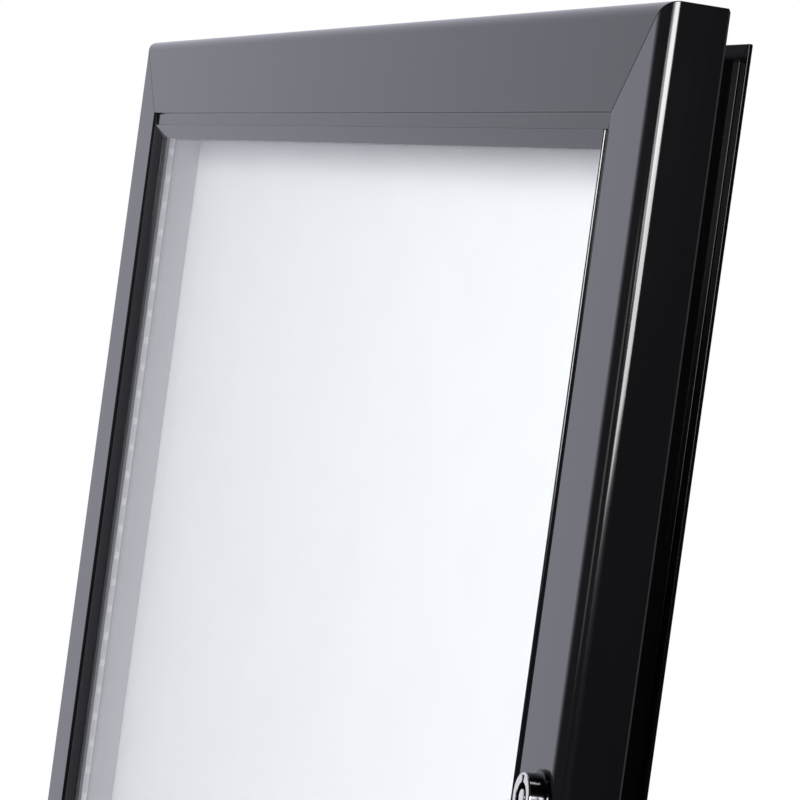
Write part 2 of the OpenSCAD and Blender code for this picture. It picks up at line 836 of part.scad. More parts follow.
// The knuckle between two heights, about the hinge axis
module knuckle(z0, z1) {
    translate([hinge_u, hinge_y, z0]) cylinder(r = knuckle_r, h = z1 - z0);
}

module hinge_bore() {
    translate([hinge_u, hinge_y, -hinge_len]) cylinder(r = hinge_pin_r + running, h = 2 * hinge_len);
}

module hinge_case_leaves() {
    web_y = hinge_y + knuckle_r - leaf_t;
    color(zinc) in_case() difference() {
        hinge_places() difference() {
            union() {
                for (z = [-hinge_len / 2, hinge_len / 6]) {
                    knuckle(z, z + hinge_len / 3);
                    translate([hinge_u, web_y, z]) cube([hinge_free_u - hinge_u + eps, leaf_t, hinge_len / 3]);
                }
                translate([hinge_free_u, web_y, -hinge_len / 2]) cube([side_inset - hinge_free_u, leaf_t, hinge_len]);
                translate([side_inset - leaf_t, web_y, -hinge_len / 2])
                    cube([leaf_t, flange_y - fold_gap - web_y, hinge_len]);
            }
            hinge_bore();
        }
        hinge_screw_places() translate([side_inset - 5, hinge_leaf_y, 0]) pin_x(hinge_screw_r + running, 8);
    }
}

module hinge_case_screws() {
    color(zinc) in_case() hinge_screw_places()
        translate([side_inset - leaf_t, hinge_leaf_y, 0]) rotate([0, 0, -90]) small_screw();
}

module hinge_pins() {
    color(zinc) in_case() hinge_places() translate([hinge_u, hinge_y, 0]) {
        translate([0, 0, -hinge_len / 2 - 1]) cylinder(r = hinge_pin_r, h = hinge_len + 2);
        translate([0, 0, hinge_len / 2 + seat]) cylinder(r = hinge_pin_r + 0.9, h = 1.4);
    }
}

module hinge_door_leaves() {
    half = hinge_len / 6 - 0.3;
    color(zinc) in_case() difference() {
        hinge_places() difference() {
            union() {
                knuckle(-half, half);
                translate([hinge_u, door_d, -half]) cube([hinge_free_u - hinge_u + eps, leaf_t, 2 * half]);
                translate([hinge_free_u, door_d, -hinge_len / 2]) cube([rear_lip_w - hinge_free_u, leaf_t, hinge_len]);
            }
            hinge_bore();
        }
        hinge_screw_places() translate([lip_screw_u, 0, 0]) rod(hinge_screw_r + running, 6, door_d - 2);
    }
}

module hinge_door_screws() {
    color(zinc) in_case() hinge_screw_places()
        translate([lip_screw_u, door_d + leaf_t, 0]) mirror([0, 1, 0]) small_screw();
}

// Door

module door_frame(side) {
    color(satin_black) in_case() difference() {
        frame_member(door_section, opening_u, side);
        lock_place() rod(barrel_r + seat, 12, -2);
        hinge_screw_places() translate([lip_screw_u, 0, 0]) rod(hinge_screw_r + running, 5, door_d - 4);
    }
}

module door_corner_cleats() {
    color(zinc) in_case() corners()
        corner_cleat(door_cleat_u0, door_cleat_u1, door_wall + seat, channel_top - seat, cleat_arm, 2);
}

module door_cleat_screws() {
    color(zinc) in_case() corners() cleat_screw_places(door_cleat_u0, door_cleat_u1, cleat_arm)
        set_screw(2, door_wall, channel_top + 0.8);
}

module glazing() {
    color("lightblue", 0.35) in_case()
        translate([-case_w / 2 + glass_edge_u, glass_y, -case_h / 2 + glass_edge_u])
            cube([case_w - 2 * glass_edge_u, glass_t, case_h - 2 * glass_edge_u]);
}

module glazing_retainers() {
    color(rubber_black) in_case() four_sides(retainer_section, channel_u + retainer_reach);
}

// Lock, drawn about its own axis along Y

module lock_place() {
    right_side() translate([lock_inset, 0, lock_rise]) children();
}

module lock_housing() {
    color("silver") in_case() lock_place() rotate([-90, 0, 0]) rotate_extrude()
        polygon([[plug_r + running, -lock_proud], [lock_face_r - chrome_bevel, -lock_proud],
                 [lock_face_r, -lock_proud + chrome_bevel], [lock_face_r + barrel_flare, -collar_t],
                 [collar_r - chrome_bevel, -collar_t], [collar_r, -collar_t + chrome_bevel], [collar_r, 0],
                 [barrel_r, 0], [barrel_r, barrel_end], [plug_r + running, barrel_end]]);
}

module lock_nut() {
    color(zinc) in_case() lock_place() difference() {
        translate([0, door_wall + seat, 0]) rotate([-90, 0, 0]) rotate(30)
            cylinder(r = lock_nut_r / cos(30), h = lock_nut_t, $fn = 6);
        rod(barrel_r + running, 10);
    }
}

module shank_outline(grow = 0) {
    intersection() {
        circle(shank_r + grow);
        square([2 * shank_r + 2, shank_flats + 2 * grow], center = true);
    }
}

module lock_plug() {
    color("silver") in_case() lock_place() {
        difference() {
            rod(plug_r, barrel_end + lock_proud - face_recess, face_recess - lock_proud);
            translate([0, -lock_proud, 0]) rotate([-90, 0, 0]) difference() {
                cylinder(r = key_ring_r + key_ring_w / 2, h = keyway_d);
                cylinder(r = key_ring_r - key_ring_w / 2, h = keyway_d);
            }
            translate([-keyway_t / 2, -lock_proud - 1, key_ring_r - seat]) cube([keyway_t, keyway_d, keyway_t]);
        }
        translate([0, barrel_end - eps, 0]) rotate([-90, 0, 0])
            linear_extrude(cam_y + cam_t + cam_nut_t - barrel_end + thread_end) shank_outline();
    }
}

// At rest the cam hangs down, clear of the keeper
module lock_cam() {
    color(zinc) in_case() lock_place() translate([0, cam_y, 0]) rotate([-90, 0, 0]) linear_extrude(cam_t)
        difference() {
            union() {
                circle(cam_w / 2);
                translate([-cam_w / 2, 0]) square([cam_w, cam_len - cam_w / 2]);
                translate([0, cam_len - cam_w / 2]) circle(cam_w / 2);
            }
            shank_outline(running);
        }
}

module cam_nut() {
    color(zinc) in_case() lock_place() translate([0, cam_y + cam_t + running, 0]) rotate([-90, 0, 0])
        difference() {
            cylinder(r = shank_r * 1.6, h = cam_nut_t, $fn = 6);
            translate([0, 0, -1]) cylinder(r = shank_r + running, h = cam_nut_t + 2);
        }
}

base_plate();
base_pads();
post_flange();
flange_bolts();
post_tube();
post_grommets();
post_head();
head_screws();
tilt_bolt();
tilt_nut();
tilt_spacer();
clamp_bolt();
clamp_nut();
tilt_bracket();
bracket_bolts();
back_rails();
rail_screws();
back_frame(0);  // back_frame_top
back_frame(1);  // back_frame_right
back_frame(2);  // back_frame_bottom
back_frame(3);  // back_frame_left
back_corner_cleats();
back_cleat_screws();
rear_sheet();
rear_sheet_screws();
display_panel();
led_strips();
led_lamps();
led_leads();
cable_gland();
white_liners();
door_seal();
lock_strike();
strike_screws();
hinge_case_leaves();
hinge_case_screws();
hinge_pins();
door_frame(0);  // door_frame_top
door_frame(1);  // door_frame_right
door_frame(2);  // door_frame_bottom
door_frame(3);  // door_frame_left
door_corner_cleats();
door_cleat_screws();
glazing();
glazing_retainers();
hinge_door_leaves();
hinge_door_screws();
lock_housing();
lock_nut();
lock_plug();
lock_cam();
cam_nut();
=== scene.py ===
"""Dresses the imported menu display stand: finishes, finer metalwork, glass, lamps, lights and camera."""

import json
import math

import bmesh
import bpy
import numpy as np
from mathutils import Matrix, Vector


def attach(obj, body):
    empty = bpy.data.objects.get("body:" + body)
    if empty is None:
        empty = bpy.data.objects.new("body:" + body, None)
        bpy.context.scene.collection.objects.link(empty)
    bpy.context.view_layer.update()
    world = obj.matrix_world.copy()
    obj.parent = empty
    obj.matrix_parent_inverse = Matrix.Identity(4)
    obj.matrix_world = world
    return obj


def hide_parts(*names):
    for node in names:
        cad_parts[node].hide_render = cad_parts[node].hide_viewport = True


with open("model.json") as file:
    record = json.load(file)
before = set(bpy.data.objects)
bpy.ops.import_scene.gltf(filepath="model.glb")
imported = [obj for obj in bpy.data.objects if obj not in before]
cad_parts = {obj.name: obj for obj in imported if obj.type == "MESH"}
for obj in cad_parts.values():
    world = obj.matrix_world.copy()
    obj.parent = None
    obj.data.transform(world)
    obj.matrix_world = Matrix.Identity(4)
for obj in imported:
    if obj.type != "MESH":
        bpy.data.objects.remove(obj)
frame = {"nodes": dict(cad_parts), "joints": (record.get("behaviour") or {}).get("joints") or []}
NODES = frame["nodes"]
JOINTS = {joint["name"]: joint for joint in frame["joints"]}
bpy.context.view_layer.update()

# Sizes in metres. In the case's own frame x runs right, y back from the door's face and z up.
MM = 0.001
CASE_W = 0.930
CASE_H = 0.684
LEAN = math.radians(8)
AXIS_Y = 0.100
LOCK_INSET = 0.015
LOCK_RISE = 0.020
LOCK_PROUD = 0.0086
MITRE_GAP = 0.00035

IN_CASE = (Matrix.Translation(Vector(JOINTS["case_tilt"]["pos_m"])) @ Matrix.Rotation(-LEAN, 4, "X")
           @ Matrix.Translation((0, -AXIS_Y, 0)))


# ---- Shader maths ----

class Wire:
    """An output socket that can be used in sums."""

    def __init__(self, finish, socket):
        self.finish = finish
        self.socket = socket

    def maths(self, operation, *values):
        return self.finish.node("ShaderNodeMath", {"operation": operation}, dict(enumerate(values)))

    def __add__(self, other):
        return self.maths("ADD", self, other)

    def __radd__(self, other):
        return self.maths("ADD", other, self)

    def __sub__(self, other):
        return self.maths("SUBTRACT", self, other)

    def __rsub__(self, other):
        return self.maths("SUBTRACT", other, self)

    def __mul__(self, other):
        return self.maths("MULTIPLY", self, other)

    def __rmul__(self, other):
        return self.maths("MULTIPLY", other, self)

    def clamped(self, low=0.0, high=1.0):
        return self.finish.node("ShaderNodeClamp", {}, {"Value": self, "Min": low, "Max": high})

    def ramp(self, width):
        """0 below zero, and rising to 1 over the given width."""
        return (self * (1 / width)).clamped()


class Finish:
    """A material or world, with the short ways to fill its node tree."""

    def __init__(self, owner):
        owner.use_nodes = True
        self.owner = owner
        self.tree = owner.node_tree
        self.tree.nodes.clear()
        self.output = self.tree.nodes.new(
            "ShaderNodeOutputWorld" if isinstance(owner, bpy.types.World) else "ShaderNodeOutputMaterial")

    def node(self, kind, settings, inputs, out=0):
        made = self.tree.nodes.new(kind)
        for name, value in settings.items():
            setattr(made, name, value)
        for name, value in inputs.items():
            if isinstance(value, Wire):
                self.tree.links.new(value.socket, made.inputs[name])
            else:
                made.inputs[name].default_value = value
        return Wire(self, made.outputs[out])

    def blend(self, factor, first, second):
        return self.node("ShaderNodeMix", {"data_type": "RGBA"}, {0: factor, 6: first, 7: second}, 2)

    def place(self, stretch=(1, 1, 1), output="Object"):
        where = self.node("ShaderNodeTexCoord", {}, {}, output)
        return self.node("ShaderNodeVectorMath", {"operation": "MULTIPLY"}, {0: where, 1: stretch})

    def part_of(self, vector, axis):
        return self.node("ShaderNodeSeparateXYZ", {}, {0: vector}, "XYZ".index(axis))

    def length(self, vector):
        return self.node("ShaderNodeVectorMath", {"operation": "LENGTH"}, {0: vector}, 1)

    def noise(self, scale, detail, stretch=(1, 1, 1)):
        return self.node("ShaderNodeTexNoise", {}, {
            "Vector": self.place(stretch), "Scale": scale, "Detail": detail, "Roughness": NOISE_ROUGHNESS})

    def bump(self, height, distance, strength):
        return self.node("ShaderNodeBump", {}, {
            "Height": height, "Distance": distance, "Strength": strength})

    def principled(self, inputs):
        return self.node("ShaderNodeBsdfPrincipled", {}, inputs)

    def surface(self, shader):
        self.tree.links.new(shader.socket, self.output.inputs["Surface"])
        return self.owner


# ---- Finishes ----

NOISE_ROUGHNESS = 0.55
GRAIN = 0.000015
DRAWN = 0.02
POLISH_EDGE = 0.0002
BRIGHT_DEPTH = 0.0007
BRIGHT_EDGE = 0.00025
GROOVE_DEPTH = 0.00025
GROOVE_RADII = (0.0034, 0.0079)
GROOVE_EDGE = 0.000125
GLASS_FACE_ON = 0.04
GLASS_EDGE_ON = 0.7


def grey(value, blue=0.0):
    return (value * (1 - blue / 2), value * (1 - blue / 2), value * (1 + blue), 1)


def satin_black(name, tone=0.0063, rough=0.1, along=None, grain=GRAIN, coat=0.0, level=0.5,
                polished_from=None):
    """Satin black coating. Its faint draw lines run along the given axis. With polished_from, its clear coat
    is full further than that from the case's right edge."""
    finish = Finish(bpy.data.materials.new(name))
    stretch = {None: (1, 1, 1), "x": (DRAWN, 1, 1), "z": (1, 1, DRAWN)}[along]
    cloud = finish.noise(scale=9, detail=3)
    lines = finish.noise(scale=420, detail=4, stretch=stretch)
    peel = finish.noise(scale=1500, detail=2)
    tint = finish.blend(cloud, grey(tone * 0.8, blue=0.15), grey(tone * 1.25, blue=0.1))
    roughness = (rough - 0.05 + 0.06 * cloud + 0.05 * lines).clamped()
    height = peel * 0.6 + lines * 0.4
    if polished_from:
        from_edge = CASE_W / 2 - finish.part_of(finish.place(), "X")
        coat = coat + (1 - coat) * (from_edge - polished_from).ramp(POLISH_EDGE)
    return finish.surface(finish.principled({
        "Base Color": tint, "Roughness": roughness, "IOR": 1.5, "Specular IOR Level": level,
        "Coat Weight": coat, "Coat Roughness": rough,
        "Normal": finish.bump(height, distance=grain, strength=0.25)}))


def bare_metal(name, shade, rough):
    """Zinc plate, slightly clouded."""
    finish = Finish(bpy.data.materials.new(name))
    fine = finish.noise(scale=700, detail=4)
    patch = finish.noise(scale=35, detail=3)
    return finish.surface(finish.principled({
        "Base Color": finish.blend(patch, grey(shade * 0.9), grey(shade, blue=0.02)), "Metallic": 1.0,
        "Roughness": (rough - 0.06 + 0.1 * fine + 0.05 * patch).clamped(),
        "Normal": finish.bump(fine, distance=0.00002, strength=0.3)}))


def lock_metal(name):
    """Bright on the lock's face; below it the metal is painted dark, standing in for the dark surroundings it
    mirrors, and the key's groove is painted near black as shade.
    """
    finish = Finish(bpy.data.materials.new(name))
    fine = finish.noise(scale=2500, detail=3)
    depth = finish.part_of(finish.place(), "Y")
    radius = finish.length(finish.place((1, 0, 1)))
    below = (depth + LOCK_PROUD - BRIGHT_DEPTH).ramp(BRIGHT_EDGE)
    sunk = (depth + LOCK_PROUD - GROOVE_DEPTH).ramp(GROOVE_EDGE)
    inner, outer = GROOVE_RADII
    # The key's groove is painted near black, as shade in the hollow, and made rough.
    shaded_groove = sunk * (outer - radius).ramp(GROOVE_EDGE) * (radius - inner).ramp(GROOVE_EDGE)
    bright = finish.blend(fine, (0.92, 0.9, 0.84, 1), (0.98, 0.96, 0.89, 1))
    # Below the bright face the metal is painted dark, a painted reflection of dark surroundings.
    face_then_painted_dark = finish.blend(below, bright, grey(0.06, blue=0.05))
    return finish.surface(finish.principled({
        "Base Color": finish.blend(shaded_groove, face_then_painted_dark, grey(0.01)), "Metallic": 1.0,
        "Roughness": (0.06 + 0.06 * fine + 0.04 * below + 0.5 * shaded_groove).clamped(),
        "Normal": finish.bump(fine, distance=0.00001, strength=0.3)}))


def moulded(name, shade, rough, scale=900, depth=0.00004, level=0.5, painted_glow=0.0):
    """Plastic, rubber or smooth paint. The emission strength given is painted light: it makes the part glow
    though nothing in it is lit.
    """
    finish = Finish(bpy.data.materials.new(name))
    fine = finish.noise(scale=scale, detail=4)
    patch = finish.noise(scale=28, detail=3)
    return finish.surface(finish.principled({
        "Base Color": finish.blend(patch, grey(shade * 0.92), grey(shade)),
        "Roughness": (rough - 0.04 + 0.08 * fine).clamped(), "Specular IOR Level": level,
        # The emission is a painted glow, not light from a lamp.
        "Emission Color": (1, 1, 1, 1), "Emission Strength": painted_glow,
        "Normal": finish.bump(fine, distance=depth, strength=0.4)}))


def lamp_lens(name):
    """The clear yellowish filling over a lamp's chip, with a painted glow: it emits light though the lamps
    are not lit.
    """
    finish = Finish(bpy.data.materials.new(name))
    patch = finish.noise(scale=900, detail=2)
    tint = finish.blend(patch, (0.9, 0.89, 0.84, 1), (0.93, 0.92, 0.88, 1))
    return finish.surface(finish.principled({
        "Base Color": tint, "Roughness": (0.08 + 0.06 * patch).clamped(), "Coat Weight": 0.5,
        # The emission is a painted glow; the lamp is not lit.
        "Emission Color": (1, 1, 0.99, 1), "Emission Strength": 0.2}))


def clear_glass(name):
    """Lets the light straight through and mirrors by angle, with a faint film of dust."""
    finish = Finish(bpy.data.materials.new(name))
    film = finish.noise(scale=6, detail=4)
    edge_on = finish.node("ShaderNodeLayerWeight", {}, {"Blend": 0.5}, 1)
    mirror = GLASS_FACE_ON + GLASS_EDGE_ON * edge_on.maths("POWER", edge_on, 5)
    through = finish.node("ShaderNodeBsdfTransparent", {}, {"Color": (0.985, 0.992, 0.99, 1)})
    shine = finish.principled({
        "Base Color": (1, 1, 1, 1), "Metallic": 1.0, "Roughness": (0.02 + 0.03 * film).clamped()})
    return finish.surface(finish.node("ShaderNodeMixShader", {}, {0: mirror, 1: through, 2: shine}))


FINISHES = {
    "satin_x": satin_black("satin_black_lengthways_x", along="x"),
    "satin_z": satin_black("satin_black_lengthways_z", along="z"),
    "satin_right": satin_black("satin_black_lock_side", along="z", coat=0.42, polished_from=0.0508),
    "satin_inner": satin_black("satin_black_inner", tone=0.0035, rough=0.12, level=0.25),
    "satin": satin_black("satin_black_coat", rough=0.3),
    "powder": satin_black("powder_coated_steel", tone=0.012, rough=0.42, grain=0.00006),
    "zinc": bare_metal("zinc_plate", shade=0.62, rough=0.3),
    "chrome": lock_metal("polished_lock_face"),
    "rubber": moulded("black_rubber", shade=0.012, rough=0.75, level=0.15),
    "nylon": moulded("black_nylon", shade=0.02, rough=0.5),
    "white_panel": moulded("white_coated_panel", shade=0.86, rough=0.4, scale=500, depth=0.00001),
    "liner": moulded("white_liner", shade=0.38, rough=0.4, scale=500, depth=0.00001),
    # The strip and the lamp bodies carry a painted glow; the lamps are not lit.
    "strip": moulded("white_strip", shade=0.8, rough=0.45, painted_glow=0.06),
    "lamp": moulded("lamp_body", shade=0.95, rough=0.25, painted_glow=0.16),
    "lens": lamp_lens("lamp_lens"),
    "lead": moulded("white_lead", shade=0.7, rough=0.5),
    "glass": clear_glass("clear_glass"),
}

# The solids that are shown as they are, by finish
CARRIED = {
    "satin": ["back_rails", "rear_sheet"],
    "powder": ["base_plate", "post_flange", "post_tube", "post_head", "tilt_bracket"],
    "zinc": ["flange_bolts", "head_screws", "tilt_bolt", "tilt_nut", "tilt_spacer", "clamp_bolt", "clamp_nut",
             "bracket_bolts", "rail_screws", "back_corner_cleats", "back_cleat_screws", "rear_sheet_screws",
             "lock_strike", "strike_screws", "hinge_case_leaves", "hinge_case_screws", "hinge_pins",
             "door_corner_cleats", "door_cleat_screws", "hinge_door_leaves", "hinge_door_screws", "lock_nut",
             "lock_cam", "cam_nut"],
    "rubber": ["base_pads", "post_grommets", "door_seal"],
    "nylon": ["glazing_retainers", "cable_gland"],
    "white_panel": ["display_panel"],
    "liner": ["white_liners"],
    "lead": ["led_leads"],
    "glass": ["glazing"],
}


def wear(obj, key):
    obj.data.materials.clear()
    obj.data.materials.append(FINISHES[key])


def carry_over():
    for key, names in CARRIED.items():
        for name in names:
            wear(NODES[name], key)


# ---- Making meshes ----

SHARP_ANGLE = math.radians(35)
EASE_STEPS = 3
EASE_LEAD = 0.0004
EASE_LEAST_TURN = math.radians(25)
EASE_ROOM = 2.2


def add_piece(name, points, faces, key, body, replaced=(), place=IN_CASE):
    mesh = bpy.data.meshes.new(name)
    mesh.from_pydata([tuple(point) for point in points], [], faces)
    shell = bmesh.new()
    shell.from_mesh(mesh)
    bmesh.ops.recalc_face_normals(shell, faces=shell.faces)
    shell.to_mesh(mesh)
    shell.free()
    mesh.polygons.foreach_set("use_smooth", [True] * len(mesh.polygons))
    mesh.set_sharp_from_angle(angle=SHARP_ANGLE)
    piece = bpy.data.objects.new(name, mesh)
    bpy.context.scene.collection.objects.link(piece)
    piece.matrix_world = place
    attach(piece, body)
    if replaced:
        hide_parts(*replaced)
    wear(piece, key)
    return piece


def arc(cx, cy, rx, ry, start, end, steps):
    turns = np.radians(np.linspace(start, end, steps + 1))
    return [(cx + rx * math.cos(turn), cy + ry * math.sin(turn)) for turn in turns]


def band(start, count):
    """The faces between one ring of points and the next, which follows it in the list."""
    return [(start + i, start + (i + 1) % count, start + count + (i + 1) % count, start + count + i)
            for i in range(count)]


def eased(outline, radius):
    """A closed outline with its corners rounded, and a support point beside each rounding."""
    made = []
    count = len(outline)
    for i, corner in enumerate(outline):
        here = Vector(corner)
        before = Vector(outline[i - 1]) - here
        after = Vector(outline[(i + 1) % count]) - here
        turn = math.pi - before.angle(after)
        cut = radius * math.tan(turn / 2)
        if turn < EASE_LEAST_TURN or cut * EASE_ROOM > min(before.length, after.length):
            made.append(here)
            continue
        before.normalize()
        after.normalize()
        first, last = here + before * cut, here + after * cut
        made.append(first + before * min(EASE_LEAD, cut))
        for k in range(EASE_STEPS + 1):
            t = k / EASE_STEPS
            made.append(first * (1 - t) ** 2 + here * 2 * t * (1 - t) + last * t ** 2)
        made.append(last + after * min(EASE_LEAD, cut))
    return made


def mitred_member(name, outline, side, key, body, replaced):
    """One side of a frame: 0 the top, 1 the right, 2 the bottom, 3 the left. The outline is in (u, y)."""
    span = CASE_W if side % 2 == 0 else CASE_H
    reach = CASE_H if side % 2 == 0 else CASE_W
    turn = Matrix.Rotation(math.radians(90 * side), 4, "Y")
    count = len(outline)
    points = []
    for end in (-1, 1):
        for u, y in outline:
            points.append(turn @ Vector((end * (span / 2 - u - MITRE_GAP), y, reach / 2 - u)))
    faces = band(0, count)
    faces.append(tuple(range(count)))
    faces.append(tuple(range(2 * count - 1, count - 1, -1)))
    return add_piece(name, points, faces, key, body, replaced)


# ---- Door and back frame ----

SIDES = ("top", "right", "bottom", "left")
MEMBER_FINISH = ("satin_x", "satin_right", "satin_x", "satin_z")


def door_outline():
    """The section of the door's members in (u, y): u inwards from the rim, y back from the face."""
    # The rim, the face, and the ridge where the face drops to the sunk border. All in millimetres.
    rim_u, rim_y, depth, rear, chamfer, wall = 6.3, 7.3, 28.6, 17, 1.1, 2.2
    face, ridge_r, ridge_turn, support = 45, 1.0, 71, 0.6
    recess_d, fillet, fillet_out, bead_fillet = 2.0, 0.3, 0.1, 0.15
    # The bead, whose outer side slants inwards above slant_end
    bead_u, slant, slant_end, kink, kink_in = 52, 16, 1.35, 0.06, 0.016
    crest_r, crest_drop, opening, glass, land, lip_run, bead_wall = 0.45, 0.45, 60, 4.5, 0.5, 0.5, 1.8
    # The inner walls, the groove of the glazing's retainers and the two lips of the cleats' channel
    inner_wall, recess_in, face_wall = 43.6, 4.0, 2.6
    groove_u, groove_y, groove_w, groove_t = 37.6, 9.2, 1.2, 0.8
    leg, channel_w, outer_wall, lip_y, lip_w, lip_t = 36.0, 8.8, 1.2, 5.7, 2.2, 1
    far_leg = leg - channel_w

    ridge_foot = face + (recess_d - ridge_r) / math.tan(math.radians(ridge_turn))
    crest_u, crest_y = bead_u + crest_r, crest_drop + crest_r
    run, fall = opening - crest_u, glass - land - crest_y
    slope = math.atan2(fall, run) + math.asin(crest_r / math.hypot(run, fall))
    lean = math.radians(slant)
    slant_fall = slant_end - crest_y + crest_r * math.sin(lean)
    bead_foot = crest_u - crest_r * math.cos(lean) - slant_fall * math.tan(lean)
    bead_in = opening - bead_wall - (glass - recess_in) / math.tan(slope)

    points = [(chamfer, depth), (0, depth - chamfer)]
    points += arc(rim_u, rim_y, rim_u, rim_y, 180, 270, steps=32)
    points += [(rim_u + support, 0), (face - ridge_r - support, 0)]
    points += arc(face - ridge_r, ridge_r, ridge_r, ridge_r, 270, 270 + ridge_turn, steps=10)
    points += [(ridge_foot - fillet_out, recess_d - fillet), (ridge_foot + fillet, recess_d),
               (bead_foot - bead_fillet, recess_d), (bead_foot, recess_d - bead_fillet),
               (bead_foot, slant_end + kink), (bead_foot + kink_in, slant_end - kink)]
    points += arc(crest_u, crest_y, crest_r, crest_r, 180 + slant, 270 + math.degrees(slope), steps=14)
    points += [(opening - lip_run, glass - land - lip_run * math.tan(slope)), (opening, glass - land),
               (opening, glass), (opening - bead_wall, glass), (bead_in, recess_in),
               (inner_wall, recess_in), (inner_wall, face_wall),
               (groove_u, face_wall), (groove_u, groove_y), (groove_u + groove_w, groove_y),
               (groove_u + groove_w, groove_y + groove_t), (leg, groove_y + groove_t)]
    points += [(leg, lip_y + lip_t), (leg - lip_w, lip_y + lip_t), (leg - lip_w, lip_y), (leg, lip_y),
               (leg, wall), (far_leg, wall), (far_leg, lip_y), (far_leg + lip_w, lip_y),
               (far_leg + lip_w, lip_y + lip_t), (far_leg - outer_wall, lip_y + lip_t),
               (far_leg - outer_wall, wall)]
    points += arc(rim_u, rim_y, rim_u - wall, rim_y - wall, 270, 180, steps=8)
    points += [(wall, depth - wall), (rear, depth - wall), (rear, depth)]
    return [(u * MM, y * MM) for u, y in points]


def back_outline():
    """The section of the back frame's members, in the same directions."""
    inset, side, inner, ledge = 11.6, 18.6, 45, 53
    flange_in, depth, wall = 30.0, 44, 1.8
    step, front, panel = 30.5, 11.6, 32.6
    corner_r = 0.3
    points = [(inset, depth), (flange_in, depth), (flange_in, depth - wall), (side + wall, depth - wall),
              (side + wall, step + wall), (inner - wall, step + wall), (inner - wall, panel + wall),
              (ledge, panel + wall), (ledge, panel), (inner, panel), (inner, front), (inner - wall, front),
              (inner - wall, step), (side, step), (side, depth - wall), (inset, depth - wall)]
    return eased([(u * MM, y * MM) for u, y in points], corner_r * MM)


def make_frames():
    door, back = door_outline(), back_outline()
    for side, word in enumerate(SIDES):
        member = mitred_member(f"door_member_{word}", door, side, MEMBER_FINISH[side], "door",
                               [f"door_frame_{word}"])
        member = mitred_member(f"back_member_{word}", back, side, "satin_inner", "case",
                               [f"back_frame_{word}"])


# ---- Lamp strips ----

STRIP_U = 0.0458
STRIP_T = 0.001
STRIP_Y = 0.0133
STRIP_W = 0.0034
STRIP_LENGTH = 0.588
STRIP_EDGE_R = 0.00015
LAMP_PITCH = 0.01667
LAMP_COUNT = 35
LAMP_SHIFT = -0.0083
LAMP_HALF = (0.0022, 0.0015)
LAMP_T = 0.0007
LAMP_POINTS = 16
LAMP_SQUARENESS = 8
LENS_R = 0.00105
# Rings of a lamp's body, of the well in it and of the lens, as shares of their size and of LAMP_T
BODY_RINGS = ((1, 0), (1, 0.75), (0.92, 1))
WELL_RINGS = ((1.1, 1), (1, 0.6))
LENS_RINGS = ((1, 0.6), (0.8, 0.74), (0.4, 0.84))


def make_strips():
    half = STRIP_W / 2
    outline = eased([(0, -half), (STRIP_T, -half), (STRIP_T, half), (0, half)], STRIP_EDGE_R)
    points, faces = [], []
    count = len(outline)
    for side in (-1, 1):
        start = len(points)
        for end in (-1, 1):
            points += [(side * (CASE_W / 2 - STRIP_U - height), STRIP_Y + across, end * STRIP_LENGTH / 2)
                       for height, across in outline]
        faces += band(start, count)
        faces += [tuple(range(start, start + count)), tuple(range(start + count, start + 2 * count))]
    strips = add_piece("lamp_strips", points, faces, "strip", "case", ["led_strips"])


def lamp_rings():
    """The rings of one lamp's body and of its lens, as (along z, along y, height) points."""
    turns = [2 * math.pi * k / LAMP_POINTS for k in range(LAMP_POINTS)]

    def boxed(size, height):
        ring = []
        for turn in turns:
            c, s = math.cos(turn), math.sin(turn)
            reach = 1 / (abs(c) ** LAMP_SQUARENESS + abs(s) ** LAMP_SQUARENESS) ** (1 / LAMP_SQUARENESS)
            ring.append((LAMP_HALF[0] * size * c * reach, LAMP_HALF[1] * size * s * reach, height))
        return ring

    def round_at(radius, height):
        return [(radius * math.cos(turn), radius * math.sin(turn), height) for turn in turns]

    body = [boxed(size, LAMP_T * rise) for size, rise in BODY_RINGS]
    body += [round_at(LENS_R * size, LAMP_T * rise) for size, rise in WELL_RINGS]
    lens = [round_at(LENS_R * size, LAMP_T * rise) for size, rise in LENS_RINGS]
    return body, lens


def lamp_row(name, rings, key, replaced):
    points, faces = [], []
    for side in (-1, 1):
        for k in range(LAMP_COUNT):
            z = (k - (LAMP_COUNT - 1) / 2) * LAMP_PITCH + LAMP_SHIFT
            start = len(points)
            for ring in rings:
                points += [(side * (CASE_W / 2 - STRIP_U - STRIP_T - height), STRIP_Y + across, z + along)
                           for along, across, height in ring]
            for i in range(len(rings) - 1):
                faces += band(start + i * LAMP_POINTS, LAMP_POINTS)
            faces.append(tuple(range(start, start + LAMP_POINTS)))
            faces.append(tuple(range(len(points) - LAMP_POINTS, len(points))))
    add_piece(name, points, faces, key, "case", replaced)


def make_lamps():
    make_strips()
    body, lens = lamp_rings()
    lamp_row("lamp_bodies", body, "lamp", ["led_lamps"])
    lamp_row("lamp_lenses", lens, "lens", [])


# ---- Lock ----

LOCK_STEPS = 72
BARREL_R = 0.008
KEY_POST_R = 0.0035
KEY_GROOVE_R = 0.00605
KEY_GROOVE_D = 0.0045
KEY_RIM = 0.0003
KEY_NOTCH_R = 0.0073
NOTCH_TURN = 9
NOTCH_WALL_TURN = 0.2
NOTCH_CLEAR = 0.5
NOTCH_STEP = 0.0011
PLUG_PLAY = 0.00005
PLUG_END = 0.019
SHANK_END = 0.0251
SHANK_R = 0.0035
SHANK_FLATS = 0.005
SHANK_CHAMFER = 0.0004
SHANK_TIP = 0.9
SHANK_STEPS = 16
# The bevel of the lock's face: radius and depth below the face
FACE_BEVEL = ((0.0091, 0), (0.0096, 0.00012), (0.0099, 0.0004), (0.01, 0.0008))
# The rounded edge of the key's post: how far inside its radius, and depth below the face
POST_CROWN = ((0.0018, 0.00002), (0.0007, 0.00014), (0.0002, 0.0004), (0, 0.0008))
